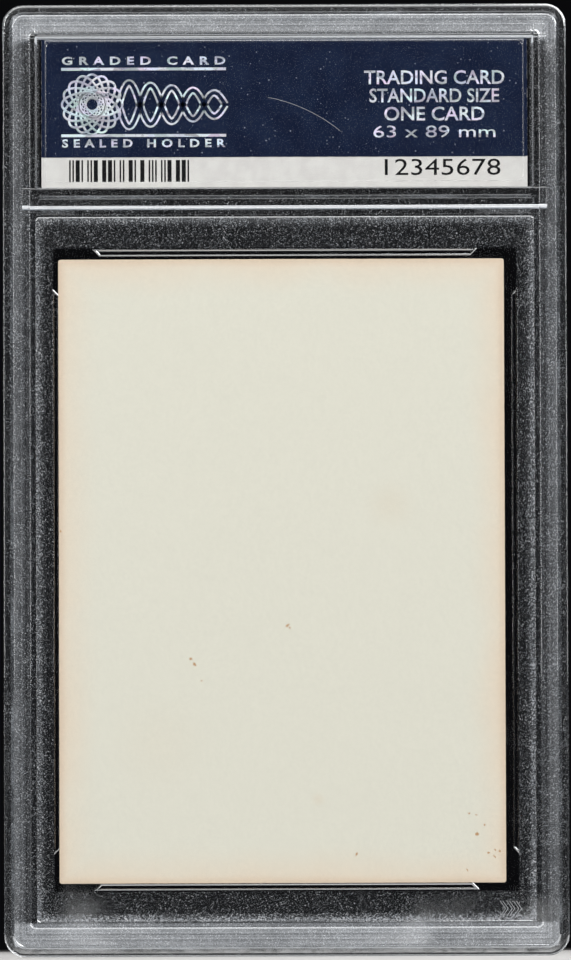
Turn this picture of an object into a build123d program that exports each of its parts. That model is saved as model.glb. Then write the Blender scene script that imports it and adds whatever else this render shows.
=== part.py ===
from build123d import *
import os

# A sealed holder for one graded card. It stands upright on its bottom edge.
# Millimetres. X runs left to right as the rear face is read and Z is up. The rear
# face looks toward -Y and the front face toward +Y. The two shells meet at Y = 0.

# The card and the printed label that the holder is made for
CARD_W = 63.5
CARD_H = 88.9
CARD_T = 0.4
CARD_CORNER = 0.35
CARD_BOTTOM = 10.38
CARD_X = -0.55
CARD_BACK = 0.05
CARD_PLAY = 1.2
LABEL_W = 69.3
LABEL_H = 21.2
LABEL_PAPER_T = 0.25
FILM_T = 0.05
FILM_H = 16.85

# Outline and depth of the closed holder
SLAB_W = 80.3
SLAB_H = 135.6
CORNER_R = 3.0
PLATE_OUT = 1.9
PLATE_IN = 0.4
FACE_OUT = 2.8
PARTING_GAP = 0.01
EDGE_ROUND = 0.5

# Ridge on the rear face, and the rim on the front face that it nests in
RIDGE_OUTER = 1.5
RIDGE_INNER = 3.9
RIDGE_BOTTOM = 4.2
RIDGE_TOP = 131.6
RIM_W = 1.4
RIDGE_ROUND = 0.25

# Raised panels over the card and over the label, and the moat around them
PANEL_W = 71.0
PANEL_BOTTOM = 4.93
PANEL_TOP = 105.3
PANEL_CORNER = 0.6
PANEL_ROUND = 0.18
MOAT = 0.3
STEP_Z = 108.2
STEP = 0.1
LABEL_PANEL_W = 68.06
LABEL_PANEL_H = 20.2
LABEL_PANEL_CORNER = 1.0
LABEL_PANEL_RISE = 0.25
PANEL_GROOVE = 0.5

# Wall round the inside, the bar between card and label, and the label's fences
WALL = 2.75
BAR_BOTTOM = 106.9
BAR_TOP = 109.5
LABEL_BOTTOM = 109.53
FENCE_W = 70.3
FENCE_T = 0.5
FENCE_Z = 130.95
TIP_ROUND = 0.12
ROOT_ROUND = 0.34
SEAM_ROUND = 0.12

# Four rails that locate the card
RAIL_TIP = 0.5
RAIL_ROUND = 0.22
SIDE_RAIL_GAP = CARD_W + CARD_PLAY
SIDE_RAIL_T = 0.68
SIDE_RAIL_L = 80.2
SIDE_RAIL_MIDDLE = 54.85
END_RAIL_T = 0.8
END_RAIL_L = 54.4
TOP_RAIL_Z = 99.9
BOTTOM_RAIL_Z = 10.36
RELIEF = 0.1

# Tongue, groove and the plastic that melts between them when the shells are welded
TONGUE_MIDDLE = 1.375
TONGUE_HALF = 0.4
TONGUE_TIP = 0.6
SIDE_CLEARANCE = 0.05
GROOVE_FLOOR = 1.0
BAR_TONGUE_Z = 108.2
BAR_TONGUE_HALF = 0.2
BAR_TONGUE_L = 70.0
BAR_TONGUE_TIP = 0.5
BAR_GROOVE_FLOOR = 0.9
WELD_GAP = 0.02
TAB_FACE = 0.15
TAB_H = 0.75
LEFT_TAB = (-34.75, -29.95)
RIGHT_TAB = (27.05, 35.05)

# Small moulded marks in the rear face
MARK_DEPTH = 0.12
MARK_X = 31.8
MARK_Z = 6.7
MARK_W = 1.1
MARK_H = 2.2
MARK_STROKE = 0.32
MARK_PITCH = 0.95
GATE_X = 32.5
GATE_Z = 106.05
GATE_R = 0.52
GATE_STROKE = 0.14

# How far joined pieces run into each other, and how far a cut runs past a face
OVERLAP = 0.2
THROUGH = 1.0


def prism(outline, y_rear, y_front):
    """Stand a flat outline, drawn in X and Z, up as a solid between two depths."""
    plane = Plane(origin=(0, y_front, 0), x_dir=(1, 0, 0), z_dir=(0, -1, 0))
    return extrude(plane * outline, amount=y_front - y_rear)


def box_outline(left, right, bottom, top, corner=0.0):
    middle = Pos((left + right) / 2, (bottom + top) / 2)
    if corner:
        return middle * RectangleRounded(right - left, top - bottom, corner)
    return middle * Rectangle(right - left, top - bottom)


def slab_outline(inset):
    """The holder's outline, moved inward by an inset."""
    half = SLAB_W / 2 - inset
    corner = max(CORNER_R - inset, PANEL_CORNER)
    return box_outline(-half, half, inset, SLAB_H - inset, corner)


def inner_outline():
    """The opening inside the ridge, where the two raised panels stand."""
    half = SLAB_W / 2 - RIDGE_INNER
    return box_outline(-half, half, RIDGE_BOTTOM, RIDGE_TOP, PANEL_CORNER)


def card_panel_outline(grow=0.0):
    half = PANEL_W / 2 + grow
    return box_outline(-half, half, PANEL_BOTTOM - grow, PANEL_TOP + grow, PANEL_CORNER + grow)


def label_panel_outline(grow=0.0):
    half = LABEL_PANEL_W / 2 + grow
    middle = LABEL_BOTTOM + LABEL_H / 2 + LABEL_PANEL_RISE
    low = middle - LABEL_PANEL_H / 2 - grow
    high = middle + LABEL_PANEL_H / 2 + grow
    return box_outline(-half, half, low, high, LABEL_PANEL_CORNER + grow)


def rounded_rear(solid, radius):
    """Round every edge of a solid's rearmost face."""
    return fillet(solid.edges().group_by(Axis.Y)[0], radius)


def rounded_front(solid, radius):
    """Round every edge of a solid's foremost face."""
    return fillet(solid.edges().group_by(Axis.Y)[-1], radius)


def band(inset, half_width, y_rear, y_front):
    """A closed ring that follows the holder's outline."""
    outer = prism(slab_outline(inset - half_width), y_rear, y_front)
    inner = prism(slab_outline(inset + half_width), y_rear - THROUGH, y_front + THROUGH)
    return outer - inner


def bar(half_length, bottom, top, y_rear, y_front):
    return prism(box_outline(-half_length, half_length, bottom, top), y_rear, y_front)


def rail(length, thickness, grow=0.0):
    """A rail's outline, with its long side down, mitred at 45 degrees at both ends."""
    long_half = length / 2 + grow * (1 + 2**0.5)
    short_half = long_half - thickness - 2 * grow
    low, high = -grow, thickness + grow
    corners = [(-long_half, low), (long_half, low), (short_half, high), (-short_half, high)]
    return make_face(Polyline(*corners, close=True))


def rails(y_rear, y_front, grow=0.0):
    """The four rails round the card, long sides outward."""
    end_rail = rail(END_RAIL_L, END_RAIL_T, grow)
    side_rail = rail(SIDE_RAIL_L, SIDE_RAIL_T, grow)
    side_x = SIDE_RAIL_GAP / 2 + SIDE_RAIL_T
    places = [
        Pos(0, BOTTOM_RAIL_Z - END_RAIL_T) * end_rail,
        Pos(0, TOP_RAIL_Z + END_RAIL_T) * Rot(0, 0, 180) * end_rail,
        Pos(-side_x, SIDE_RAIL_MIDDLE) * Rot(0, 0, -90) * side_rail,
        Pos(side_x, SIDE_RAIL_MIDDLE) * Rot(0, 0, 90) * side_rail,
    ]
    return [rounded_front(prism(place, y_rear, y_front), RAIL_ROUND) for place in places]


def bar_root():
    """The concave blend where the bar's lower side meets the rear plate."""
    low, back = BAR_BOTTOM - ROOT_ROUND, -PLATE_IN
    corner = (back - OVERLAP, BAR_BOTTOM + OVERLAP)
    tip = (back + ROOT_ROUND, BAR_BOTTOM)
    outline = [
        Polyline((back, low), (back - OVERLAP, low), corner, (tip[0], corner[1]), tip),
        RadiusArc(tip, (back, low), ROOT_ROUND),
    ]
    half = SLAB_W / 2 - WALL
    plane = Plane(origin=(-half, 0, 0), x_dir=(0, 1, 0), z_dir=(1, 0, 0))
    return extrude(plane * make_face(outline), amount=2 * half)


def fences(y_rear, y_front):
    """Thin walls at both sides of the label and above it."""
    inner = FENCE_W / 2
    wall = SLAB_W / 2 - WALL
    top = SLAB_H - WALL
    low = BAR_TOP - OVERLAP
    left = box_outline(-inner - FENCE_T, -inner, low, top + OVERLAP)
    right = box_outline(inner, inner + FENCE_T, low, top + OVERLAP)
    over = box_outline(-wall - OVERLAP, wall + OVERLAP, FENCE_Z, FENCE_Z + FENCE_T)
    walls = [prism(outline, y_rear, y_front) for outline in (left, right, over)]
    rounded = rounded_front if y_rear < 0 else rounded_rear
    return [rounded(wall_solid, TIP_ROUND) for wall_solid in walls]


def tab_outline(span, shrink=0.0):
    """A welding pad under the bar's lower side, or the smaller bead that it holds."""
    left, right = span
    high = BAR_BOTTOM - ROOT_ROUND - shrink
    top = high if shrink else BAR_BOTTOM + OVERLAP
    return box_outline(left + shrink, right - shrink, high - TAB_H + 2 * shrink, top)


def cavity(y_rear, y_front):
    """The flat hollow that holds the card and the label."""
    half = SLAB_W / 2 - WALL
    outline = box_outline(-half, half, WALL, SLAB_H - WALL, PANEL_CORNER)
    return prism(outline, y_rear, y_front)


def mark_cuts():
    """Three plain chevrons, sunk into the lower right corner of the card panel."""
    low, high = MARK_Z - MARK_H / 2, MARK_Z + MARK_H / 2
    cuts = []
    for step in (-1, 0, 1):
        left = MARK_X - MARK_W / 2 + step * MARK_PITCH
        tip = left + MARK_W
        corners = [
            (left, low),
            (left + MARK_STROKE, low),
            (tip, MARK_Z),
            (left + MARK_STROKE, high),
            (left, high),
            (tip - MARK_STROKE, MARK_Z),
        ]
        outline = make_face(Polyline(*corners, close=True))
        cuts.append(prism(outline, -FACE_OUT, -PLATE_OUT + MARK_DEPTH))
    return cuts


def gate_cut():
    """The faint ring left by an ejector pin."""
    ring = Pos(GATE_X, GATE_Z) * (Circle(GATE_R) - Circle(GATE_R - GATE_STROKE))
    return prism(ring, -FACE_OUT, -PLATE_OUT + MOAT + MARK_DEPTH)


def rear_shell():
    body = prism(slab_outline(0), -PLATE_OUT, -PARTING_GAP)
    body = rounded_front(rounded_rear(body, EDGE_ROUND), SEAM_ROUND)
    ridge = prism(slab_outline(RIDGE_OUTER), -FACE_OUT, -PLATE_OUT + MOAT)
    ridge -= prism(inner_outline(), -FACE_OUT - THROUGH, 0)
    ridge = rounded_rear(ridge, RIDGE_ROUND)
    body -= prism(inner_outline(), -FACE_OUT, -PLATE_OUT + MOAT)
    body += ridge
    half = SLAB_W / 2 - RIDGE_INNER
    raised_floor = box_outline(-half, half, STEP_Z, RIDGE_TOP)
    body += prism(raised_floor, -PLATE_OUT + MOAT - STEP, -PLATE_OUT + MOAT)
    for outline in (card_panel_outline(), label_panel_outline()):
        body += rounded_rear(prism(outline, -PLATE_OUT, -PLATE_OUT + MOAT + OVERLAP), PANEL_ROUND)
    body -= cavity(-PLATE_IN, THROUGH)
    divider = bar(SLAB_W / 2 - WALL, BAR_BOTTOM, BAR_TOP, -PLATE_IN, -PARTING_GAP)
    body += rounded_front(divider, TIP_ROUND)
    body += bar_root()
    body += fences(-PLATE_IN, -PARTING_GAP)
    body += [prism(tab_outline(span), -PLATE_IN, -TAB_FACE) for span in (LEFT_TAB, RIGHT_TAB)]
    body += rails(-PLATE_IN, RAIL_TIP)
    body += band(TONGUE_MIDDLE, TONGUE_HALF, -OVERLAP, TONGUE_TIP)
    low, high = BAR_TONGUE_Z - BAR_TONGUE_HALF, BAR_TONGUE_Z + BAR_TONGUE_HALF
    body += bar(BAR_TONGUE_L / 2, low, high, -OVERLAP, BAR_TONGUE_TIP)
    body -= mark_cuts()
    return body - gate_cut()


def front_shell():
    body = prism(slab_outline(0), PARTING_GAP, FACE_OUT)
    body -= prism(slab_outline(RIM_W), PLATE_OUT, FACE_OUT + THROUGH)
    body = rounded_rear(rounded_front(body, RIDGE_ROUND), SEAM_ROUND)
    for outline, grown in (
        (card_panel_outline(), card_panel_outline(PANEL_GROOVE)),
        (label_panel_outline(), label_panel_outline(PANEL_GROOVE)),
    ):
        body -= prism(grown, PLATE_OUT - MOAT, FACE_OUT) - prism(outline, 0, FACE_OUT)
    body -= cavity(-THROUGH, PLATE_IN)
    divider = bar(SLAB_W / 2 - WALL, BAR_BOTTOM, BAR_TOP, PARTING_GAP, PLATE_IN)
    body += rounded_rear(divider, TIP_ROUND)
    body += fences(PARTING_GAP, PLATE_IN)
    body += [prism(tab_outline(span), TAB_FACE, PLATE_IN) for span in (LEFT_TAB, RIGHT_TAB)]
    body -= rails(0, RAIL_TIP + RELIEF, RELIEF)
    half_groove = TONGUE_HALF + SIDE_CLEARANCE
    body -= band(TONGUE_MIDDLE, half_groove, -THROUGH, GROOVE_FLOOR)
    bar_half_groove = BAR_TONGUE_HALF + SIDE_CLEARANCE
    low, high = BAR_TONGUE_Z - bar_half_groove, BAR_TONGUE_Z + bar_half_groove
    half_length = BAR_TONGUE_L / 2 + SIDE_CLEARANCE
    return body - bar(half_length, low, high, -THROUGH, BAR_GROOVE_FLOOR)


def perimeter_weld():
    """The bead of re-set plastic between the tongue's tip and the groove's floor."""
    return band(TONGUE_MIDDLE, TONGUE_HALF, TONGUE_TIP + WELD_GAP, GROOVE_FLOOR - WELD_GAP)


def divider_weld():
    low, high = BAR_TONGUE_Z - BAR_TONGUE_HALF, BAR_TONGUE_Z + BAR_TONGUE_HALF
    y_rear, y_front = BAR_TONGUE_TIP + WELD_GAP, BAR_GROOVE_FLOOR - WELD_GAP
    return bar(BAR_TONGUE_L / 2, low, high, y_rear, y_front)


def weld_tab(span):
    return prism(tab_outline(span, WELD_GAP), -TAB_FACE + WELD_GAP, TAB_FACE - WELD_GAP)


def card():
    left = CARD_X - CARD_W / 2
    outline = box_outline(left, left + CARD_W, CARD_BOTTOM, CARD_BOTTOM + CARD_H, CARD_CORNER)
    return prism(outline, -CARD_T / 2 - CARD_BACK, CARD_T / 2 - CARD_BACK)


def label_layer(height, y_rear, y_front):
    """One layer of the label, from its top edge down."""
    half = LABEL_W / 2
    top = LABEL_BOTTOM + LABEL_H
    return prism(box_outline(-half, half, top - height, top), y_rear, y_front)


film_rear = -(LABEL_PAPER_T + FILM_T) / 2
film_front = film_rear + FILM_T
parts = {
    "rear_shell": rear_shell(),
    "front_shell": front_shell(),
    "perimeter_weld": perimeter_weld(),
    "divider_weld": divider_weld(),
    "weld_tab_left": weld_tab(LEFT_TAB),
    "weld_tab_right": weld_tab(RIGHT_TAB),
    "card": card(),
    "label_film": label_layer(FILM_H, film_rear, film_front),
    "label_paper": label_layer(LABEL_H, film_front, film_front + LABEL_PAPER_T),
}

os.makedirs("parts", exist_ok=True)
for name, solid in parts.items():
    export_step(solid, f"parts/{name}.step")
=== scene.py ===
import math

import bmesh
import bpy
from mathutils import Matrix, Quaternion, Vector, noise


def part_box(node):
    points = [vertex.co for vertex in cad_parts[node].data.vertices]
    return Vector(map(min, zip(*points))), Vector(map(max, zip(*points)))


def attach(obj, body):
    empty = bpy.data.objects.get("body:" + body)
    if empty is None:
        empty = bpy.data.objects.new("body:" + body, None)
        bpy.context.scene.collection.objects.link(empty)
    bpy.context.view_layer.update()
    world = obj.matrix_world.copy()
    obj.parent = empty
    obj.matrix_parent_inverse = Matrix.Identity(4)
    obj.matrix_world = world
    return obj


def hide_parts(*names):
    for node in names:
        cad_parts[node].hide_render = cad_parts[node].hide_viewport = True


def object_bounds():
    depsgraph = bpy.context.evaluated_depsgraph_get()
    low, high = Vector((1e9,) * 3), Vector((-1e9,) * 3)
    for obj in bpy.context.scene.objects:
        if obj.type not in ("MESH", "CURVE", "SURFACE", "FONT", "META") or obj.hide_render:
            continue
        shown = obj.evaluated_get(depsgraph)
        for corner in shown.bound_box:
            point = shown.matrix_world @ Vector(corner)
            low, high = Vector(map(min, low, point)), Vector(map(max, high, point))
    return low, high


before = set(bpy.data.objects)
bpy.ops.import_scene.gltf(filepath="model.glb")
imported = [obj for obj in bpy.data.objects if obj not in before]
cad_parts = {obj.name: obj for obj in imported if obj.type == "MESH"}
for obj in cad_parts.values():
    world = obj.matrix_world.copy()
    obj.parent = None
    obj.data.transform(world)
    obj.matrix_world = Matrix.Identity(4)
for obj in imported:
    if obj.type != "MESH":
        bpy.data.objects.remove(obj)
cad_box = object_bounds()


# ---- Clear shells -------------------------------------------------------------------
# Two halves injection moulded in clear polystyrene. The tool is polished over the card
# and the label and spark-eroded elsewhere, which leaves a fine dark grain round them.
# Glow on the ridges and panel rim, and bright lines at steps and round a mark, are painted into that
# grain.

MM = 0.001

# Half width, foot and head of the zones of the mould, in metres
CARD_WINDOW = (32.95 * MM, 9.3 * MM, 100.85 * MM)
LABEL_WINDOW = (34.85 * MM, 109.5 * MM, 131.0 * MM)
CARD_PANEL = (35.5 * MM, 4.93 * MM, 105.3 * MM)
RIDGE_INSIDE = (36.25 * MM, 4.85 * MM, 131.6 * MM)
CASE_OUTLINE = (40.15 * MM, 0.0, 135.6 * MM)
BAR_FOOT = (37.4 * MM, 106.5 * MM, 106.9 * MM)
# How softly one zone runs into the next
ZONE_BLEND = 0.1 * MM
# The ridge is painted brighter beyond this reach, up and down from its middle: painted light standing in
# for light from above and below
RIDGE_MIDDLE, RIDGE_PAINTED_GLOW_REACH = 67.65 * MM, 62.5 * MM
# Anything further back than this is on the rear face
REAR_SKIN = -1.8 * MM
# Weld flash on the rear: across, up and radius in millimetres
WELD_FLASH = (
    (-35.3, 133.3, 1.9),
    (-38.7, 130.2, 1.3),
    (36.3, 132.6, 1.4),
    (37.8, 129.4, 1.2),
    (-38.5, 4.4, 1.0),
)


def feed(tree, kind, inputs=None, **options):
    """Adds a node, sets its options and feeds its inputs with values or other outputs."""
    node = tree.nodes.new(kind)
    for name, value in options.items():
        setattr(node, name, value)
    for name, value in (inputs or {}).items():
        if isinstance(value, bpy.types.NodeSocket):
            tree.links.new(value, node.inputs[name])
        else:
            node.inputs[name].default_value = value
    return node


def maths(tree, operation, *values):
    """One Math node's result."""
    return feed(tree, "ShaderNodeMath", dict(enumerate(values)), operation=operation).outputs[0]


def product(tree, *values):
    """Several values multiplied together."""
    result = values[0]
    for value in values[1:]:
        result = maths(tree, "MULTIPLY", result, value)
    return result


def vector_maths(tree, operation, *values):
    """One Vector Math node's result: a number for lengths, a vector otherwise."""
    node = feed(tree, "ShaderNodeVectorMath", dict(enumerate(values)), operation=operation)
    return node.outputs["Value" if operation in ("LENGTH", "DISTANCE") else "Vector"]


def ramp(tree, value, low, high, low_out=0.0, high_out=1.0):
    """A value carried smoothly from one range to another."""
    inputs = {"Value": value, "From Min": low, "From Max": high, "To Min": low_out, "To Max": high_out}
    return feed(tree, "ShaderNodeMapRange", inputs, interpolation_type="SMOOTHSTEP").outputs["Result"]


def texture(tree, kind, place, scale, detail=None):
    """A Noise or Voronoi texture on the piece's own coordinates."""
    inputs = {"Vector": place, "Scale": scale}
    if detail is not None:
        inputs["Detail"] = detail
    return feed(tree, "ShaderNodeTex" + kind, inputs).outputs


def bump(tree, height, distance):
    """The normal of a surface raised by height, one unit of it being distance."""
    inputs = {"Height": height, "Distance": distance, "Strength": 1.0}
    return feed(tree, "ShaderNodeBump", inputs).outputs["Normal"]


def object_place(tree):
    """The point on the piece, in metres from its origin."""
    return feed(tree, "ShaderNodeTexCoord").outputs["Object"]


def new_group(name, inputs, outputs):
    """An empty shader group with named sockets, and its two end nodes."""
    tree = bpy.data.node_groups.new(name, "ShaderNodeTree")
    for label, kind, value in inputs:
        socket = tree.interface.new_socket(label, in_out="INPUT", socket_type="NodeSocket" + kind)
        socket.default_value = value
    for label, kind in outputs:
        tree.interface.new_socket(label, in_out="OUTPUT", socket_type="NodeSocket" + kind)
    return tree, feed(tree, "NodeGroupInput").outputs, feed(tree, "NodeGroupOutput").inputs


def rectangle_reach(tree, x, z, half_width, low, high):
    """How far a point is outside an upright rectangle, negative inside it."""
    beside = maths(tree, "SUBTRACT", maths(tree, "ABSOLUTE", x), half_width)
    from_middle = maths(tree, "ABSOLUTE", maths(tree, "SUBTRACT", z, (low + high) / 2))
    above = maths(tree, "SUBTRACT", from_middle, (high - low) / 2)
    return maths(tree, "MAXIMUM", beside, above)


def make_surface_wear():
    """Fine unevenness of handled plastic: a faint waviness and slightly dulled patches."""
    tree, given, result = new_group(
        "surface_wear",
        [("Wave Depth", "Float", 0.002 * MM), ("Polish", "Float", 0.02), ("Dulled", "Float", 0.07)],
        [("Roughness", "Float"), ("Normal", "Vector")],
    )
    place = object_place(tree)
    waves = texture(tree, "Noise", place, 400.0, 2.0)
    tree.links.new(bump(tree, waves[0], given["Wave Depth"]), result["Normal"])
    patches = texture(tree, "Noise", place, 90.0, 4.0)
    dulled = ramp(tree, patches[0], 0.5, 0.75, given["Polish"], given["Dulled"])
    tree.links.new(dulled, result["Roughness"])
    return tree


surface_wear = make_surface_wear()


def new_material(name):
    """A material with only its output, ready for a surface."""
    material = bpy.data.materials.new(name)
    material.use_nodes = True
    material.node_tree.nodes.clear()
    return material, material.node_tree, feed(material.node_tree, "ShaderNodeOutputMaterial")


def moulded_zones(tree, across, up):
    """Shares of the mould's zones: off the windows, and painted glow on the ridge, at its top and
    bottom, on the panel rim and at its foot.
    """
    off_card = ramp(tree, rectangle_reach(tree, across, up, *CARD_WINDOW), 0, ZONE_BLEND)
    off_label = ramp(tree, rectangle_reach(tree, across, up, *LABEL_WINDOW), 0, ZONE_BLEND)
    panel = rectangle_reach(tree, across, up, *CARD_PANEL)
    moat = rectangle_reach(tree, across, up, *RIDGE_INSIDE)
    edge = rectangle_reach(tree, across, up, *CASE_OUTLINE)
    ridge = product(tree, ramp(tree, moat, 0, ZONE_BLEND), ramp(tree, edge, -1.4 * MM, -1.5 * MM))
    from_middle = maths(tree, "ABSOLUTE", maths(tree, "SUBTRACT", up, RIDGE_MIDDLE))
    at_end = ramp(tree, from_middle, RIDGE_PAINTED_GLOW_REACH, RIDGE_PAINTED_GLOW_REACH + 0.7 * MM)
    # Painted light: the ridge glows most near its outer edge, and all across at its top and bottom.
    ridge_painted_fade = ramp(tree, edge, -2.3 * MM, -3.3 * MM, 1.0, 0.25)
    ridge_painted_fade = maths(tree, "MAXIMUM", at_end, ridge_painted_fade)
    # Painted light: a glow on the card panel's rim, rising towards its edge.
    rim = product(tree, ramp(tree, panel, -1.6 * MM, 0), ramp(tree, panel, 0.05 * MM, 0.0))
    # The ridge, its top and bottom, the rim and the foot are shares of painted glow; edge and grained
    # are plain places.
    return {
        "edge": edge,
        "grained": product(tree, off_card, off_label),
        "ridge": product(tree, ridge, ridge_painted_fade),
        "painted_ridge_ends": product(tree, ridge, at_end),
        "rim": rim,
        "foot": product(tree, rim, ramp(tree, up, 9.0 * MM, 5.0 * MM)),
    }


def painted_step_lines(tree, across, up):
    """Painted highlights: bright thin lines drawn where a step of the mould would catch the light,
    brightest at the top.
    """
    bar_foot = rectangle_reach(tree, across, up, *BAR_FOOT)
    lines = ramp(tree, bar_foot, 0.03 * MM, -0.05 * MM, 0.0, 0.5)
    # Painted light: the step lines are drawn brighter near the top.
    painted_top_boost = ramp(tree, up, 129.9 * MM, 130.3 * MM, 1.0, 4.5)
    label_steps = ((34.05, 110.3, 130.5, 0.05), (35.4, 109.45, 131.02, 0.11))
    for half_width, low, high, strength in label_steps:
        step = rectangle_reach(tree, across, up, half_width * MM, low * MM, high * MM)
        near = ramp(tree, maths(tree, "ABSOLUTE", step), 0.16 * MM, 0.05 * MM)
        lines = maths(tree, "MAXIMUM", lines, product(tree, near, strength, painted_top_boost))
    return lines


def painted_mark_outlines(tree, across, depth, up):
    """Painted highlights: bright outlines drawn round the three chevrons sunk into the rear's lower
    right corner.
    """
    middle_x, middle_z, half_height, slope, stroke, pitch = 32.03, 6.7, 1.1, 0.71, 0.32, 0.95
    rise = maths(tree, "ABSOLUTE", maths(tree, "SUBTRACT", up, middle_z * MM))
    unslanted = maths(tree, "MULTIPLY_ADD", rise, slope, across)
    nearest = 1.0
    for step in (-1, 0, 1):
        for side in (0.0, stroke):
            line = (middle_x + step * pitch + side) * MM
            away = maths(tree, "ABSOLUTE", maths(tree, "SUBTRACT", unslanted, line))
            nearest = maths(tree, "MINIMUM", nearest, away)
    inside = maths(tree, "LESS_THAN", rise, half_height * MM)
    rear = maths(tree, "LESS_THAN", depth, REAR_SKIN)
    return product(tree, ramp(tree, nearest, 0.11 * MM, 0.03 * MM), inside, rear, 0.45)


def label_scratch(tree, place, across, depth, up):
    """One long curved scratch on the rear, over the label."""
    radius, middle, half_length, lowest = 22.9 * MM, 2.85 * MM, 5.5 * MM, 110 * MM
    from_centre = vector_maths(tree, "SUBTRACT", place, (-6.6 * MM, 0, 99.8 * MM))
    from_centre = vector_maths(tree, "MULTIPLY", from_centre, (1, 0, 1))
    off_arc = maths(tree, "SUBTRACT", vector_maths(tree, "LENGTH", from_centre), radius)
    line = ramp(tree, maths(tree, "ABSOLUTE", off_arc), 0.045 * MM, 0.005 * MM)
    from_middle = maths(tree, "ABSOLUTE", maths(tree, "SUBTRACT", across, middle))
    tail = ramp(tree, from_middle, half_length, half_length - 0.6 * MM)
    above = maths(tree, "GREATER_THAN", up, lowest)
    rear = maths(tree, "LESS_THAN", depth, REAR_SKIN)
    return product(tree, line, tail, above, rear, 0.4)


def grain_and_painted_light(tree):
    """How much of the surface is broken into facets: the eroded texture, weld flash and one scratch,
    with painted glow and painted highlight lines.
    """
    place = object_place(tree)
    across, depth, up = feed(tree, "ShaderNodeSeparateXYZ", {0: place}).outputs
    zones = moulded_zones(tree, across, up)

    lift = texture(tree, "Noise", place, 6600.0, 2.0)[0]
    # Painted light: denser specks on the ridge, the panel rim and its foot.
    for zone, more in (("ridge", 0.02), ("rim", 0.07), ("foot", 0.07)):
        lift = maths(tree, "MULTIPLY_ADD", zones[zone], more, lift)
    speck = ramp(tree, lift, 0.64, 0.68)

    # Painted light: more haze on the ridge, the panel rim and the ridge's top and bottom; the tool marks
    # and weld flash below are real.
    haze_and_painted_glow = 0.006
    for zone, more in (("ridge", 0.05), ("rim", 0.03), ("painted_ridge_ends", 0.1)):
        haze_and_painted_glow = maths(tree, "MULTIPLY_ADD", zones[zone], more, haze_and_painted_glow)
    tool_marks = {"W": zones["edge"], "Scale": 3600.0, "Detail": 2.0}
    tool_marks = feed(tree, "ShaderNodeTexNoise", tool_marks, noise_dimensions="1D").outputs[0]
    haze_and_painted_glow = product(tree, haze_and_painted_glow, ramp(tree, tool_marks, 0.35, 0.65, 0.55, 1.45))
    for x, z, radius in WELD_FLASH:
        away = vector_maths(tree, "DISTANCE", place, (x * MM, -2.8 * MM, z * MM))
        haze_and_painted_glow = maths(tree, "MULTIPLY_ADD", ramp(tree, away, radius * MM, 0.0), 0.09, haze_and_painted_glow)

    patch = ramp(tree, texture(tree, "Noise", place, 260.0, 3.0)[0], 0.3, 0.7, 0.8, 1.2)
    facets_and_painted_light = maths(tree, "MULTIPLY_ADD", speck, 0.3, haze_and_painted_glow)
    facets_and_painted_light = product(tree, facets_and_painted_light, patch, zones["grained"])
    # Painted highlights: the step lines and the chevron outlines.
    facets_and_painted_light = maths(tree, "MAXIMUM", facets_and_painted_light, painted_step_lines(tree, across, up))
    facets_and_painted_light = maths(tree, "MAXIMUM", facets_and_painted_light, painted_mark_outlines(tree, across, depth, up))
    outer = ramp(tree, maths(tree, "ABSOLUTE", depth), 1.3 * MM, 1.6 * MM)
    scratch = label_scratch(tree, place, across, depth, up)
    return maths(tree, "MAXIMUM", product(tree, facets_and_painted_light, outer), scratch)


def add_surface(tree, output, inputs):
    """A Principled surface with the given inputs, joined to the material's output."""
    surface = feed(tree, "ShaderNodeBsdfPrincipled", inputs)
    tree.links.new(surface.outputs[0], output.inputs["Surface"])


def make_plastic(name, share_of_facets, body, facet, roughness, dulled):
    """Clear plastic of which a part is broken into facets that scatter the light."""
    material, tree, output = new_material(name)
    finish = {"Wave Depth": 0.002 * MM, "Polish": 0.02, "Dulled": dulled}
    wear = feed(tree, "ShaderNodeGroup", finish, node_tree=surface_wear)
    inputs = {
        "Base Color": body,
        "Roughness": wear.outputs["Roughness"],
        "Normal": wear.outputs["Normal"],
        "IOR": 1.59,
        "Transmission Weight": 1.0,
    }
    glass = feed(tree, "ShaderNodeBsdfPrincipled", inputs)
    facets = feed(tree, "ShaderNodeBsdfPrincipled", {"Base Color": facet, "Roughness": roughness})
    mixed = {0: share_of_facets(tree), 1: glass.outputs[0], 2: facets.outputs[0]}
    plastic = feed(tree, "ShaderNodeMixShader", mixed)
    lamp_way = feed(tree, "ShaderNodeBsdfTransparent", {0: (0.93, 0.94, 0.95, 1.0)})
    is_lamp = feed(tree, "ShaderNodeLightPath").outputs["Is Shadow Ray"]
    surface = {0: is_lamp, 1: plastic.outputs[0], 2: lamp_way.outputs[0]}
    tree.links.new(feed(tree, "ShaderNodeMixShader", surface).outputs[0], output.inputs["Surface"])
    return material


# Its facet share holds the grain, weld flash and scratch, with painted glow and painted highlight lines.
clear_polystyrene = make_plastic(
    "clear_polystyrene", grain_and_painted_light, (0.97, 0.98, 0.99, 1.0), (0.75, 0.77, 0.8, 1.0), 0.5, 0.07
)
for name in ("rear_shell", "front_shell"):
    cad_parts[name].data.materials[0] = clear_polystyrene


# ---- Weld beads -----------------------------------------------------------------------
# Plastic that melted and set again between tongue and groove, and in two pads under the
# bar. It is the same polystyrene, faintly milky with the tiny bubbles that welding leaves.

def bubbles(tree):
    """How much of the bead is milky: a faint cloud, and small bubbles here and there."""
    place = object_place(tree)
    bubble = ramp(tree, texture(tree, "Voronoi", place, 2600.0)["Distance"], 0.3, 0.15)
    milky = ramp(tree, texture(tree, "Noise", place, 160.0, 3.0)[0], 0.45, 0.75, 0.02, 0.1)
    return maths(tree, "MULTIPLY_ADD", product(tree, bubble, milky), 2.0, milky)


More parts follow.
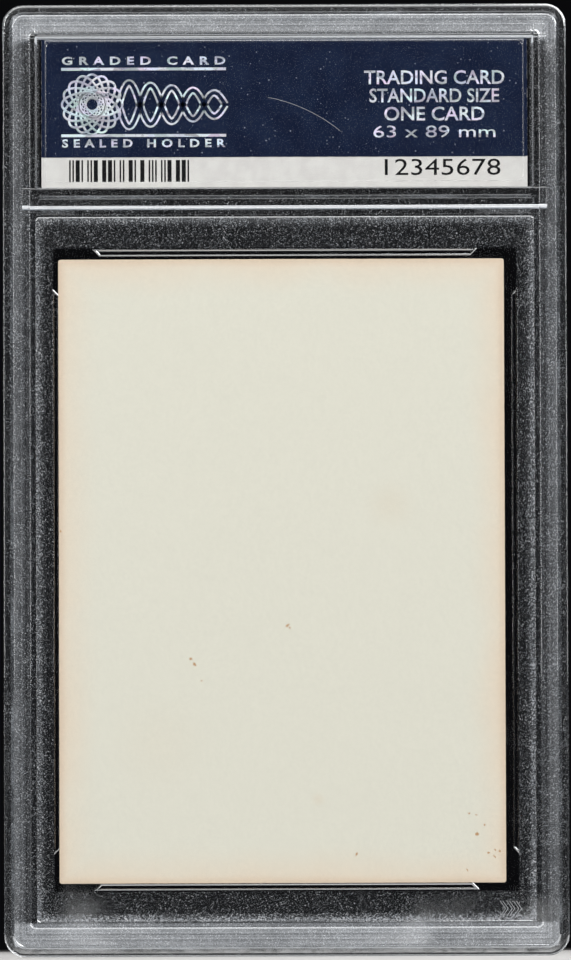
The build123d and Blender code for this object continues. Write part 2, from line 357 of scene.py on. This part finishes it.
weld_bead = make_plastic(
    "weld_bead", bubbles, (0.96, 0.97, 0.98, 1.0), (0.8, 0.81, 0.82, 1.0), 0.45, 0.08
)
for name in ("perimeter_weld", "divider_weld", "weld_tab_left", "weld_tab_right"):
    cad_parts[name].data.materials[0] = weld_bead


# ---- Card ---------------------------------------------------------------------------
# One thickness of uncoated board, cut with a guillotine, so its edge is slightly fibrous.
# The back is blank and has toned with age, most along the edges, with a few rust specks.

# Rust specks of the back: across, up and radius in millimetres
RUST = (
    (-13.5, 42.3, 0.38),
    (-13.1, 41.6, 0.31),
    (0.2, 47.0, 0.31),
    (0.5, 46.6, 0.2),
    (9.9, 14.5, 0.26),
    (25.9, 20.2, 0.24),
    (27.0, 20.0, 0.18),
    (28.1, 18.6, 0.22),
    (27.1, 17.3, 0.33),
    (29.7, 15.1, 0.25),
    (30.4, 14.9, 0.22),
    (28.8, 14.6, 0.26),
    (29.6, 14.1, 0.22),
    (25.6, 12.2, 0.2),
    (-12.1, 39.2, 0.18),
    (-32.1, 60.6, 0.27),
)
# Faint smudges: the same, and how strong
SMUDGES = ((4.5, 22.3, 1.3, 0.3), (14.9, 64.2, 4.5, 0.2), (-18, 30, 9, 0.1))


def paint(red, green, blue):
    """A display colour, 0 to 255, as the linear colour that materials take."""
    shares = [channel / 255 for channel in (red, green, blue)]
    return (*(((c + 0.055) / 1.055) ** 2.4 if c > 0.04 else c / 12.92 for c in shares), 1.0)


def blend(tree, share, first, second, kind="MIX"):
    """Two colours mixed, or multiplied where the kind says so."""
    inputs = {0: share, 6: first, 7: second}
    return feed(tree, "ShaderNodeMix", inputs, data_type="RGBA", blend_type=kind).outputs[2]


def make_paper_fibre():
    """The felted fibres of board and paper, as a tone, a roughness and a normal."""
    tree, given, result = new_group(
        "paper_fibre",
        [
            ("Fibre Scale", "Float", 3000.0),
            ("Fibre Depth", "Float", 0.01 * MM),
            ("Darkest Tone", "Float", 0.95),
            ("Smoothest", "Float", 0.6),
            ("Roughest", "Float", 0.9),
        ],
        [("Tone", "Float"), ("Roughness", "Float"), ("Normal", "Vector")],
    )
    fibre = texture(tree, "Noise", object_place(tree), given["Fibre Scale"], 3.0)[0]
    tree.links.new(ramp(tree, fibre, 0.3, 0.7, given["Darkest Tone"]), result["Tone"])
    rough = ramp(tree, fibre, 0.3, 0.7, given["Smoothest"], given["Roughest"])
    tree.links.new(rough, result["Roughness"])
    tree.links.new(bump(tree, fibre, given["Fibre Depth"]), result["Normal"])
    return tree


def finish_paper(tree, output, colour, fibre, specular):
    """Paper of a colour, shaded and roughened by its fibres."""
    tone = feed(tree, "ShaderNodeCombineXYZ", {axis: fibre.outputs["Tone"] for axis in range(3)})
    inputs = {
        "Base Color": blend(tree, 1.0, colour, tone.outputs[0], "MULTIPLY"),
        "Roughness": fibre.outputs["Roughness"],
        "Normal": fibre.outputs["Normal"],
        "Specular IOR Level": specular,
    }
    add_surface(tree, output, inputs)


def rounded_outline(low, high, corner, step):
    """Points round a rectangle with rounded corners, no further apart than step."""
    rim = []
    for quarter, (right, top) in enumerate(((1, 1), (-1, 1), (-1, -1), (1, -1))):
        x = (high[0] if right > 0 else low[0]) - right * corner
        z = (high[2] if top > 0 else low[2]) - top * corner
        for turn in range(0, 91, 15):
            angle = math.radians(90 * quarter + turn)
            rim.append(Vector((x + corner * math.cos(angle), 0, z + corner * math.sin(angle))))
    outline = []
    for point, following in zip(rim, rim[1:] + rim[:1]):
        pieces = max(1, round((following - point).length / step))
        outline += [point.lerp(following, piece / pieces) for piece in range(pieces)]
    return outline


def sheet(name, box, corner, fray, material):
    """A cut sheet with rounded corners, softened rims and an edge as rough as fray."""
    low, high = box
    step, fray_scale, layer_shift = 0.35 * MM, 1400, 9000
    bevel = min(0.05 * MM, (high[1] - low[1]) / 4)
    outline = rounded_outline(low, high, corner, step)
    middle = Vector(((low[0] + high[0]) / 2, 0, (low[2] + high[2]) / 2))
    levels = ((low[1], bevel), (low[1] + bevel, 0.0), (high[1] - bevel, 0.0), (high[1], bevel))
    shaped = bmesh.new()
    rings = []
    for depth, inset in levels:
        ring = []
        for point in outline:
            layer = Vector((depth * layer_shift, 0, 0))
            rough = fray * abs(noise.noise(point * fray_scale + layer))
            inward = (middle - point).normalized() * (inset + rough)
            ring.append(shaped.verts.new((point.x + inward.x, depth, point.z + inward.z)))
        rings.append(ring)
    for near, far in zip(rings, rings[1:]):
        for index in range(len(outline)):
            after = (index + 1) % len(outline)
            shaped.faces.new((near[index], near[after], far[after], far[index]))
    shaped.faces.new(rings[0])
    shaped.faces.new(rings[-1])
    bmesh.ops.recalc_face_normals(shaped, faces=shaped.faces)
    mesh = bpy.data.meshes.new(name)
    shaped.to_mesh(mesh)
    shaped.free()
    mesh.materials.append(material)
    piece = bpy.data.objects.new(name, mesh)
    bpy.context.scene.collection.objects.link(piece)
    return piece


def toned_back(tree, place, reach):
    """The blank back: cream, browner at the edges, with rust specks and faint smudges."""
    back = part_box("card")[0][1]
    cloud = texture(tree, "Noise", place, 70.0, 4.0)[0]
    wide = ramp(tree, maths(tree, "MULTIPLY_ADD", cloud, 6 * MM, reach), -3 * MM, 4.5 * MM)
    toned = blend(tree, wide, paint(232, 227, 209), paint(237, 219, 195))
    narrow = ramp(tree, maths(tree, "MULTIPLY_ADD", cloud, 0.8 * MM, reach), -1.0 * MM, 0.4 * MM)
    toned = blend(tree, narrow, toned, paint(228, 206, 180))

    shake = 0.8 * MM
    ragged = texture(tree, "Noise", place, 1500.0, 2.0)["Color"]
    shaken = vector_maths(tree, "MULTIPLY_ADD", ragged, (shake,) * 3, place)
    specks = 0.0
    for x, z, radius in RUST:
        spot = (x * MM + shake / 2, back + shake / 2, z * MM + shake / 2)
        near = ramp(tree, vector_maths(tree, "DISTANCE", shaken, spot), radius * MM, 0.3 * radius * MM)
        specks = maths(tree, "MAXIMUM", specks, near)
    toned = blend(tree, product(tree, specks, 0.8), toned, paint(182, 124, 44))

    smudges = 0.0
    for x, z, radius, strength in SMUDGES:
        away = vector_maths(tree, "DISTANCE", place, (x * MM, back, z * MM))
        smudges = maths(tree, "MULTIPLY_ADD", ramp(tree, away, radius * MM, 0.0), strength, smudges)
    return blend(tree, smudges, toned, paint(226, 206, 178))


def printed_front(tree, from_middle, across, up, paper):
    """The front's plain picture: rays round a disc, inside a border of bare board."""
    low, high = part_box("card")
    border, foot, sun_height, ring, disc, soft = (
        size * MM for size in (3.2, 9.5, 62.0, 16.0, 14.6, 0.2)
    )
    half = (high[0] - low[0]) / 2 - border
    picture = rectangle_reach(tree, across, up, half, low[2] + foot, high[2] - border)
    sun = vector_maths(tree, "SUBTRACT", from_middle, (0, 0, sun_height))
    sun_x, _, sun_z = feed(tree, "ShaderNodeSeparateXYZ", {0: sun}).outputs
    ray = maths(tree, "SINE", product(tree, maths(tree, "ARCTAN2", sun_z, sun_x), 18.0))
    rays = blend(tree, ramp(tree, ray, -0.1, 0.1), paint(196, 96, 66), paint(226, 168, 84))
    away = vector_maths(tree, "LENGTH", sun)
    rays = blend(tree, ramp(tree, away, ring, ring - soft), rays, paint(58, 84, 112))
    rays = blend(tree, ramp(tree, away, disc, disc - soft), rays, paint(236, 226, 198))
    return blend(tree, ramp(tree, picture, 0.05 * MM, -0.05 * MM), paper, rays)


def make_board():
    """Cream board, toned on its blank back and printed on its front."""
    material, tree, output = new_material("toned_board")
    place = object_place(tree)
    low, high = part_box("card")
    from_middle = vector_maths(tree, "SUBTRACT", place, ((low[0] + high[0]) / 2, 0, 0))
    across, depth, up = feed(tree, "ShaderNodeSeparateXYZ", {0: from_middle}).outputs
    reach = rectangle_reach(tree, across, up, (high[0] - low[0]) / 2, low[2], high[2])
    toned = toned_back(tree, place, reach)
    printed = printed_front(tree, from_middle, across, up, toned)
    front = maths(tree, "GREATER_THAN", depth, high[1] - 0.03 * MM)
    sizes = {
        "Fibre Scale": 2600.0,
        "Fibre Depth": 0.01 * MM,
        "Darkest Tone": 0.955,
        "Smoothest": 0.75,
        "Roughest": 0.9,
    }
    fibre = feed(tree, "ShaderNodeGroup", sizes, node_tree=paper_fibre)
    finish_paper(tree, output, blend(tree, front, toned, printed), fibre, 0.3)
    return material


paper_fibre = make_paper_fibre()
card = sheet("board_card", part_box("card"), 0.35 * MM, 0.05 * MM, make_board())
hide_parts("card")
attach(card, "card")


# ---- Label insert ---------------------------------------------------------------------
# White label paper cut to the pocket. Below the film its back shows, with a bar code and a
# number printed in black. The front has a plain frame and a few generic words.

REAR, FRONT = -1, 1
PAPER_BACK, PAPER_FRONT = -0.104, 0.154


def make_label_paper():
    """Bright paper with a little mottling."""
    material, tree, output = new_material("label_paper")
    mottle = texture(tree, "Noise", object_place(tree), 500.0, 5.0)[0]
    white = blend(tree, ramp(tree, mottle, 0.35, 0.65), paint(223, 219, 212), paint(215, 210, 204))
    sizes = {
        "Fibre Scale": 3500.0,
        "Fibre Depth": 0.004 * MM,
        "Darkest Tone": 0.99,
        "Smoothest": 0.6,
        "Roughest": 0.75,
    }
    fibre = feed(tree, "ShaderNodeGroup", sizes, node_tree=paper_fibre)
    finish_paper(tree, output, white, fibre, 0.5)
    return material


def make_print_wear():
    """Tiny spots where a printed or stamped layer has worn thin."""
    tree, given, result = new_group(
        "print_wear",
        [("Spot Scale", "Float", 4000.0), ("Start", "Float", 0.65), ("Thinnest", "Float", 0.6)],
        [("Worn", "Float")],
    )
    spots = texture(tree, "Noise", object_place(tree), given["Spot Scale"], 2.0)[0]
    full = maths(tree, "ADD", given["Start"], 0.1)
    tree.links.new(ramp(tree, spots, given["Start"], full, 0.0, given["Thinnest"]), result["Worn"])
    return tree


def worn(tree, scale, start, thinnest):
    """The worn share of a printed layer, from the shared group."""
    inputs = {"Spot Scale": scale, "Start": start, "Thinnest": thinnest}
    return feed(tree, "ShaderNodeGroup", inputs, node_tree=print_wear).outputs["Worn"]


def make_ink(name, colour):
    """Dry matt printing ink, worn thin in tiny spots."""
    material, tree, output = new_material(name)
    inputs = {
        "Base Color": blend(tree, worn(tree, 4500.0, 0.7, 0.5), colour, paint(200, 198, 194)),
        "Roughness": 0.9,
        "Specular IOR Level": 0.1,
    }
    add_surface(tree, output, inputs)
    return material


def plain_mesh(draft):
    """The mesh of a text or of a node tree's result. The draft is removed."""
    bpy.context.scene.collection.objects.link(draft)
    bpy.context.view_layer.update()
    seen = draft.evaluated_get(bpy.context.evaluated_depsgraph_get())
    mesh = bpy.data.meshes.new_from_object(seen)
    bpy.data.objects.remove(draft)
    return mesh


def finish_print(piece):
    """A printed layer: it moves with the label."""
    bpy.context.scene.collection.objects.link(piece)
    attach(piece, "label")


def lettering(name, words, box, depth, material, side=REAR, bold=0.0, spacing=1.0):
    """A line of words or figures, its box given as middle, foot, width and height."""
    centre, low, width, cap = box
    curve = bpy.data.curves.new(name, "FONT")
    curve.body = words
    curve.resolution_u = 3
    curve.offset = bold
    curve.space_character = spacing
    mesh = plain_mesh(bpy.data.objects.new(name, curve))
    xs = [vertex.co.x for vertex in mesh.vertices]
    ys = [vertex.co.y for vertex in mesh.vertices]
    left, right, foot, top = min(xs), max(xs), min(ys), max(ys)
    for vertex in mesh.vertices:
        along = ((vertex.co.x - left) / (right - left) - 0.5) * width
        rise = (vertex.co.y - foot) / (top - foot) * cap
        vertex.co = ((centre - side * along) * MM, depth * MM, (low + rise) * MM)
    mesh.materials.clear()
    mesh.materials.append(material)
    finish_print(bpy.data.objects.new(name, mesh))


def frame_print(name, box, line, depth, side, material):
    """A printed rectangular frame with lines of one width."""
    points = []
    for inset in (0.0, line):
        x0, x1, z0, z1 = box[0] + inset, box[1] - inset, box[2] + inset, box[3] - inset
        corners = ((x0, z0), (x1, z0), (x1, z1), (x0, z1))
        points += [(x * MM, depth * MM, z * MM) for x, z in corners]
    faces = [(i, (i + 1) % 4, 4 + (i + 1) % 4, 4 + i)[::-side] for i in range(4)]
    mesh = bpy.data.meshes.new(name)
    mesh.from_pydata(points, [], faces)
    mesh.materials.append(material)
    finish_print(bpy.data.objects.new(name, mesh))


def interleaved_bars(digits, narrow, wide):
    """Centres and widths of the bars of an interleaved two-of-five bar code."""
    patterns = ("00110", "10001", "01001", "11000", "00101", "10100", "01100", "00011", "10010", "01010")
    widths = [narrow] * 4
    for first, second in zip(digits[::2], digits[1::2]):
        for bar, gap in zip(patterns[int(first)], patterns[int(second)]):
            widths += [wide if bar == "1" else narrow, wide if gap == "1" else narrow]
    widths += [wide, narrow, narrow]
    place = 0.0
    bars = []
    for index, width in enumerate(widths):
        if index % 2 == 0:
            bars.append((place + width / 2, width))
        place += width
    return bars, place


def make_bar_nodes(ink):
    """Turns points into upright bars: each point's own width, one height for all."""
    tree = bpy.data.node_groups.new("bars", "GeometryNodeTree")
    tree.interface.new_socket("Geometry", in_out="INPUT", socket_type="NodeSocketGeometry")
    tree.interface.new_socket("Bar Height", in_out="INPUT", socket_type="NodeSocketFloat")
    tree.interface.new_socket("Geometry", in_out="OUTPUT", socket_type="NodeSocketGeometry")
    given, result = feed(tree, "NodeGroupInput").outputs, feed(tree, "NodeGroupOutput").inputs
    square = {"Size X": 1.0, "Size Y": 1.0, "Vertices X": 2, "Vertices Y": 2}
    quad = feed(tree, "GeometryNodeMeshGrid", square)
    turned = {"Geometry": quad.outputs[0], "Rotation": (math.radians(90), 0, 0)}
    upright = feed(tree, "GeometryNodeTransform", turned)
    width = feed(tree, "GeometryNodeInputNamedAttribute", {"Name": "bar_width"}, data_type="FLOAT")
    size = feed(tree, "ShaderNodeCombineXYZ", {0: width.outputs[0], 1: 1.0, 2: given["Bar Height"]})
    placed = {"Points": given["Geometry"], "Instance": upright.outputs[0], "Scale": size.outputs[0]}
    bars = feed(tree, "GeometryNodeInstanceOnPoints", placed)
    real = feed(tree, "GeometryNodeRealizeInstances", {0: bars.outputs[0]})
    inked = feed(tree, "GeometryNodeSetMaterial", {"Geometry": real.outputs[0], "Material": ink})
    tree.links.new(inked.outputs[0], result[0])
    return tree


def grown(name, mesh, tree, settings):
    """The plain mesh that a node tree makes from a mesh, as a new object."""
    draft = bpy.data.objects.new(name, mesh)
    modifier = draft.modifiers.new("grow", "NODES")
    modifier.node_group = tree
    for item in tree.interface.items_tree:
        if item.item_type == "SOCKET" and item.in_out == "INPUT" and item.name in settings:
            modifier[item.identifier] = settings[item.name]
    return bpy.data.objects.new(name, plain_mesh(draft))


def bar_code(name, digits, left, width, low, height, ink):
    """A bar code on the paper's back, its left end, width, foot and height given."""
    bars, total = interleaved_bars(digits, 1.0, 2.6)
    scale = width / total * MM
    middle = (low + height / 2) * MM
    points = [(left * MM + x * scale, PAPER_BACK * MM, middle) for x, _ in bars]
    mesh = bpy.data.meshes.new(name + "_points")
    mesh.from_pydata(points, [], [])
    widths = mesh.attributes.new("bar_width", "FLOAT", "POINT")
    for item, (_, bar) in zip(widths.data, bars):
        item.value = bar * scale
    finish_print(grown(name, mesh, make_bar_nodes(ink), {"Bar Height": height * MM}))


label_paper = sheet("label_insert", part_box("label_paper"), 0.15 * MM, 0.03 * MM, make_label_paper())
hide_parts("label_paper")
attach(label_paper, "label")
print_wear = make_print_wear()
black = make_ink("black_ink", paint(20, 19, 20))
blue = make_ink("blue_ink", paint(38, 52, 104))
bar_code("bar_code", "12345678", -30.7, 17.1, 110.55, 2.95, black)
lettering("rear_number", "12345678", (22.55, 111.2, 16.5, 2.35), PAPER_BACK, black)
frame_print("front_frame", (-33.6, 33.6, 110.6, 129.7), 1.1, PAPER_FRONT, FRONT, blue)
front_words = (
    ("front_title", "TRADING CARD", (14.6, 124.0, 24, 2.3), 0.0),
    ("front_kind", "STANDARD SIZE", (15.6, 120.2, 22, 1.9), 0.0),
    ("front_number", "12345678", (17.6, 112.8, 18, 2.1), 0.0),
    ("front_grade", "5", (-25.5, 117.6, 4.4, 7.0), 0.02),
)
for name, words, box, bold in front_words:
    lettering(name, words, box, PAPER_FRONT, black, FRONT, bold)


# ---- Foil film ------------------------------------------------------------------------
# A dark blue film laminated over the upper part of the paper, stamped with silver foil
# that splits the light into pale rainbow tints. The words and ornament are generic.

FOIL_DEPTH = -0.154
ROSETTE_CENTRE = (-27.4 * MM, FOIL_DEPTH * MM, 121.45 * MM)


def make_navy_film():
    """Dark blue film with fine dust in it and a faint orange-peel surface."""
    material, tree, output = new_material("navy_film")
    place = object_place(tree)
    tint = texture(tree, "Noise", place, 240.0, 3.0)[0]
    navy = blend(tree, ramp(tree, tint, 0.35, 0.65), paint(20, 28, 50), paint(24, 34, 57))
    dust = texture(tree, "Voronoi", place, 2300.0)
    chance = feed(tree, "ShaderNodeSeparateXYZ", {0: dust["Color"]}).outputs[0]
    radius = product(tree, maths(tree, "POWER", chance, 7.0), 0.24)
    speck = product(tree, maths(tree, "LESS_THAN", dust["Distance"], radius), 0.5)
    matt = ramp(tree, texture(tree, "Noise", place, 6000.0, 2.0)[0], 0.58, 0.68, 0.0, 0.1)
    speck = maths(tree, "MAXIMUM", speck, matt)
    inputs = {
        "Base Color": blend(tree, speck, navy, paint(190, 194, 208)),
        "Roughness": ramp(tree, tint, 0.3, 0.7, 0.13, 0.19),
        "Normal": bump(tree, tint, 0.004 * MM),
    }
    add_surface(tree, output, inputs)
    return material


def make_foil():
    """Silver foil with an embossed diffraction pattern: each small cell has its own tint."""
    material, tree, output = new_material("rainbow_foil")
    place = object_place(tree)
    stretched = vector_maths(tree, "MULTIPLY", place, (500, 500, 1300))
    cells = texture(tree, "Voronoi", stretched, 1.0)
    first, second, third = feed(tree, "ShaderNodeSeparateXYZ", {0: cells["Color"]}).outputs
    drift = texture(tree, "Noise", place, 180.0, 2.0)[0]
    hue = maths(tree, "MULTIPLY_ADD", drift, 0.6, 0.2)
    hue = maths(tree, "MULTIPLY_ADD", first, 0.3, hue)
    tint = {0: hue, 1: ramp(tree, third, 0, 1, 0.04, 0.2), 2: ramp(tree, second, 0, 1, 0.42, 0.86)}
    silver = feed(tree, "ShaderNodeCombineColor", tint, mode="HSV").outputs[0]
    inputs = {
        "Base Color": blend(tree, worn(tree, 3200.0, 0.62, 0.75), silver, paint(40, 46, 76)),
        "Metallic": 0.3,
        "Roughness": ramp(tree, third, 0, 1, 0.35, 0.5),
        "Normal": bump(tree, second, 0.004 * MM),
    }
    add_surface(tree, output, inputs)
    return material


def foil_line(name, points, width, depth, material):
    """A flat ribbon of one width along a list of places."""
    mesh = bpy.data.meshes.new(name)
    rim = []
    for index, (x, z) in enumerate(points):
        before, after = points[max(index - 1, 0)], points[min(index + 1, len(points) - 1)]
        along = Vector((after[0] - before[0], after[1] - before[1])).normalized() * width / 2
        rim += [(x - along.y, z + along.x), (x + along.y, z - along.x)]
    faces = [(2 * i, 2 * i + 1, 2 * i + 3, 2 * i + 2) for i in range(len(points) - 1)]
    mesh.from_pydata([(x * MM, depth * MM, z * MM) for x, z in rim], [], faces)
    mesh.materials.append(material)
    finish_print(bpy.data.objects.new(name, mesh))


def make_rosette_nodes(foil):
    """Oval outlines turned step by step about their seed points, as flat thin lines."""
    tree = bpy.data.node_groups.new("rosette", "GeometryNodeTree")
    tree.interface.new_socket("Geometry", in_out="INPUT", socket_type="NodeSocketGeometry")
    for label in ("Radius", "Petal Waist", "Line Radius", "Turn"):
        tree.interface.new_socket(label, in_out="INPUT", socket_type="NodeSocketFloat")
    tree.interface.new_socket("Geometry", in_out="OUTPUT", socket_type="NodeSocketGeometry")
    given, result = feed(tree, "NodeGroupInput").outputs, feed(tree, "NodeGroupOutput").inputs
    ring = {"Resolution": 64, "Radius": given["Radius"]}
    ring = feed(tree, "GeometryNodeCurvePrimitiveCircle", ring)
    oval = feed(tree, "ShaderNodeCombineXYZ", {0: 1.0, 1: given["Petal Waist"], 2: 1.0})
    upright = {"Geometry": ring.outputs[0], "Rotation": (math.radians(90), 0, 0)}
    upright["Scale"] = oval.outputs[0]
    oval = feed(tree, "GeometryNodeTransform", upright)
    section = {"Resolution": 6, "Radius": given["Line Radius"]}
    section = feed(tree, "GeometryNodeCurvePrimitiveCircle", section)
    line = {"Curve": oval.outputs[0], "Profile Curve": section.outputs[0]}
    line = feed(tree, "GeometryNodeCurveToMesh", line)
    flat = {"Geometry": line.outputs[0], "Scale": (1.0, 0.03, 1.0)}
    petal = feed(tree, "GeometryNodeTransform", flat)
    index = feed(tree, "GeometryNodeInputIndex").outputs[0]
    turn = product(tree, index, given["Turn"])
    turn = feed(tree, "ShaderNodeCombineXYZ", {0: 0.0, 1: turn, 2: 0.0})
    placed = {"Points": given["Geometry"], "Instance": petal.outputs[0], "Rotation": turn.outputs[0]}
    petals = feed(tree, "GeometryNodeInstanceOnPoints", placed)
    real = feed(tree, "GeometryNodeRealizeInstances", {0: petals.outputs[0]})
    stamped = feed(tree, "GeometryNodeSetMaterial", {"Geometry": real.outputs[0], "Material": foil})
    tree.links.new(stamped.outputs[0], result[0])
    return tree


def rosette(name, petals, radius, waist, line, nodes):
    """Petals round one centre, each a flat oval line."""
    seeds = bpy.data.meshes.new(name + "_seeds")
    seeds.from_pydata([ROSETTE_CENTRE] * petals, [], [])
    settings = {
        "Radius": radius * MM,
        "Petal Waist": waist,
        "Line Radius": line * MM,
        "Turn": math.pi / petals,
    }
    finish_print(grown(name, seeds, nodes, settings))


def lozenge_chain(foil, navy):
    """Two outlined bands that cross each other in even waves, dying down to the right."""
    steps, left, length, level, half_waves = 160, -23.6, 15.2, 121.4, 5
    for name, phase in (("band_one", 0.0), ("band_two", math.pi)):
        path = []
        for step in range(steps + 1):
            part = step / steps
            swing = 3.3 * (1 - 0.55 * part)
            rise = swing * math.sin(phase + half_waves * math.pi * part)
            path.append((left + length * part, level + rise))
        foil_line(name + "_edge", path, 1.05, FOIL_DEPTH, foil)
        foil_line(name + "_fill", path, 0.5, FOIL_DEPTH - 0.002, navy)


navy_film = make_navy_film()
foil = make_foil()
film = sheet("film_sheet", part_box("label_film"), 0.15 * MM, 0.06 * MM, navy_film)
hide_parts("label_film")
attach(film, "label")
rosette_nodes = make_rosette_nodes(foil)
rosette("rosette", 8, 4.3, 0.42, 0.16, rosette_nodes)
rosette("rosette_heart", 6, 1.7, 0.5, 0.09, rosette_nodes)
lozenge_chain(foil, navy_film)
for name, level in (("upper_rule", 126.5), ("lower_rule", 117.0)):
    foil_line(name, [(-31.8, level), (-8.3, level)], 0.4, FOIL_DEPTH, foil)
spaced = (("upper_words", "GRADED CARD", 127.1), ("lower_words", "SEALED HOLDER", 115.3))
for name, words, low in spaced:
    box = (-20.05, low, 23.3, 1.2)
    lettering(name, words, box, FOIL_DEPTH, foil, REAR, 0.03, 1.75)
right_words = (
    ("right_words_0", "TRADING CARD", (21.4, 124.2, 20, 2.0), 0.012),
    ("right_words_1", "STANDARD SIZE", (21.4, 121.6, 18.5, 2.0), 0.012),
    ("right_words_2", "ONE CARD", (21.4, 119.0, 14.3, 2.0), 0.012),
    ("right_size", "63 x 89 mm", (21.4, 116.6, 17.4, 1.7), 0.0),
)
for name, words, box, bold in right_words:
    lettering(name, words, box, FOIL_DEPTH, foil, REAR, bold)


# ---- Floor, lights and camera ---------------------------------------------------------
# A pale studio floor in a dark room, two big soft lamps before the rear face, one above,
# a fill behind and two low ones at the sides, which draw the ridges.

def make_floor_paint():
    """Pale matt paint with a faint roller texture."""
    material, tree, output = new_material("floor_paint")
    place = object_place(tree)
    roller = texture(tree, "Noise", place, 900.0, 3.0)[0]
    pale = blend(tree, ramp(tree, roller, 0.3, 0.7), paint(158, 157, 155), paint(151, 150, 148))
    inputs = {"Base Color": pale, "Roughness": 0.8, "Normal": bump(tree, roller, 0.05 * MM)}
    add_surface(tree, output, inputs)
    return material


def make_floor():
    """A wide flat floor under the object."""
    half = 4.0
    corners = [(-half, -half, 0), (half, -half, 0), (half, half, 0), (-half, half, 0)]
    mesh = bpy.data.meshes.new("floor")
    mesh.from_pydata(corners, [], [(0, 1, 2, 3)])
    floor = bpy.data.objects.new("floor", mesh)
    bpy.context.scene.collection.objects.link(floor)
    floor.data.materials.append(make_floor_paint())


def lamp(name, place, aim, width, height, power):
    """A rectangular soft lamp at a place, turned towards its aim."""
    light = bpy.data.lights.new(name, "AREA")
    light.shape = "RECTANGLE"
    light.size, light.size_y, light.energy = width, height, power
    lamp_object = bpy.data.objects.new(name, light)
    lamp_object.location = place
    lamp_object.rotation_mode = "QUATERNION"
    lamp_object.rotation_quaternion = (Vector(aim) - Vector(place)).to_track_quat("-Z", "Y")
    bpy.context.scene.collection.objects.link(lamp_object)


make_floor()
middle = (cad_box[0] + cad_box[1]) / 2
lamp("left_soft", (-1.2, -1.0, 0.7), middle, 0.9, 0.9, 31)
lamp("right_soft", (1.2, -1.0, 0.7), middle, 0.9, 0.9, 31)
lamp("top_soft", (0, 0.0, 1.1), middle, 1.2, 0.7, 8)
lamp("front_fill", (0.5, 1.3, 0.8), middle, 0.9, 0.9, 14)
lamp("left_edge", (-0.9, 0.05, 0.35), middle, 0.5, 0.6, 3)
lamp("right_edge", (0.9, 0.05, 0.35), middle, 0.5, 0.6, 3)

world = bpy.data.worlds.new("dark_room")
world.use_nodes = True
world.node_tree.nodes["Background"].inputs["Color"].default_value = (0.003, 0.003, 0.0035, 1.0)
bpy.context.scene.world = world
bpy.context.scene.view_settings.view_transform = "Standard"
paths = bpy.context.scene.cycles
paths.transmission_bounces = 16
paths.max_bounces = 20
paths.transparent_max_bounces = 24
paths.caustics_reflective = False
paths.caustics_refractive = False
paths.sample_clamp_indirect = 4.0
paths.use_denoising = True


def place_camera():
    """A long lens low over the floor, far enough back to see the whole height."""
    seen_height, height, turn, half_sensor = 136.75 * MM, 1.5 * MM, -0.19, 18
    camera = bpy.data.cameras.new("camera")
    camera.lens = 400
    distance = seen_height / 2 / (half_sensor / camera.lens)
    slope = math.asin((middle.z - height) / distance)
    holder = bpy.data.objects.new("camera", camera)
    holder.location = (middle.x, middle.y - distance * math.cos(slope), height)
    holder.rotation_mode = "QUATERNION"
    aim = (middle - holder.location).to_track_quat("-Z", "Y")
    holder.rotation_quaternion = aim @ Quaternion((0, 0, 1), math.radians(turn))
    camera.clip_start, camera.clip_end = 0.01, 50
    bpy.context.scene.collection.objects.link(holder)
    bpy.context.scene.camera = holder


place_camera()
